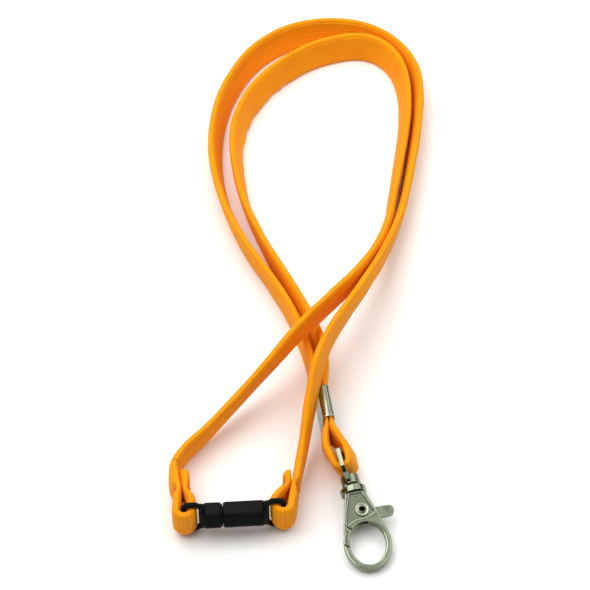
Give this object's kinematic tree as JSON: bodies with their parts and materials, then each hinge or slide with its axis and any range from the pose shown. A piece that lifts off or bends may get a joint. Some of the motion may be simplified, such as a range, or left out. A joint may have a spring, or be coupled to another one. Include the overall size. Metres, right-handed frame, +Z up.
{
  "type": "neck lanyard",
  "caption": "Folded woven neck strap with a pull-apart connector at its ends and a crimped-on swivel trigger hook with a sprung gate.",
  "frame": {"origin": "on the table, under the middle of the laid-out lanyard's box", "axes": "+Y along the lanyard from the hook to the far end of the neck loop, +X to the right, +Z up from the table"},
  "size_m": [0.0918, 0.2484, 0.0258],
  "materials": {
    "webbing": "soft woven polyester tube, fine ribs along its length",
    "thread": "lock-stitched thread",
    "clamp_metal": "nickel-plated sheet, polished",
    "hook_metal": "nickel-plated die casting, bright with soft wear",
    "rivet_metal": "nickel-plated tubular rivet",
    "spring_metal": "drawn spring wire",
    "connector_plastic": "moulded acetal, satin"
  },
  "bodies": {
    "strap": {"strap_run_plug": "webbing", "strap_run_socket": "webbing", "strap_hook_loop": "webbing", "strap_socket_loop": "webbing", "bartack_socket": "thread", "crimp_clamp": "clamp_metal", "connector_socket": "connector_plastic"},
    "plug": {"connector_plug": "connector_plastic", "strap_plug_loop": "webbing", "bartack_plug": "thread"},
    "eye": {"swivel_eye": "hook_metal"},
    "hook": {"hook_body": "hook_metal", "gate_rivet": "rivet_metal", "gate_spring": "spring_metal"},
    "gate": {"gate_lever": "hook_metal"}
  },
  "joints": [
    {"name": "connector_release", "type": "slide", "parent": "strap", "child": "plug", "axis": [-0.9981, -0.0611, 0], "range_m": [0, 0.012]},
    {"name": "eye_swing", "type": "hinge", "parent": "strap", "child": "eye", "pos_m": [0.01259, -0.08432, 0.00895], "axis": [-0.2599, -0.235, 0.9366], "range_deg": [-12, 30]},
    {"name": "hook_spin", "type": "hinge", "parent": "eye", "child": "hook", "pos_m": [0.0154, -0.0956, 0.0069], "axis": [0.2383, -0.9556, -0.1737], "continuous": true},
    {"name": "gate_open", "type": "hinge", "parent": "hook", "child": "gate", "pos_m": [0.0183, -0.1035, 0.00542], "axis": [0.042, -0.1685, 0.9848], "range_deg": [0, 22], "stiffness_Nm_per_rad": 0.02, "springref_deg": -22.92, "deforming": ["gate_spring"]}
  ]
}
